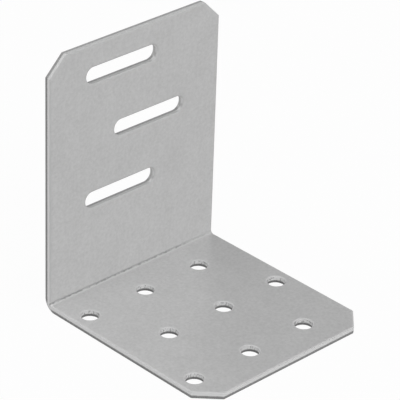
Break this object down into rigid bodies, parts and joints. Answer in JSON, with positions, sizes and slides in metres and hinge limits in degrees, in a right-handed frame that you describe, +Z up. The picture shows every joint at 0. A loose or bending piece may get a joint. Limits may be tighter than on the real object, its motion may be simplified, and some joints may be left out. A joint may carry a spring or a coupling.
{
  "type": "adjustable mounting angle bracket",
  "caption": "Folded galvanised steel angle with staggered adjustment slots across the upright leg, staggered screw holes in the base leg and cut corners.",
  "frame": {"origin": "middle of the bounding box in X and Y, on the underside of the base leg", "axes": "+X along the fold, +Y towards the back of the upright leg, +Z up along the upright leg"},
  "size_m": [0.06, 0.063, 0.075],
  "materials": {
    "galvanised_steel": "matt zinc coating with a fine mottle, torn zones of the cut edges darker"
  },
  "bodies": {
    "root": {"angle_bracket": "galvanised_steel"}
  },
  "joints": []
}
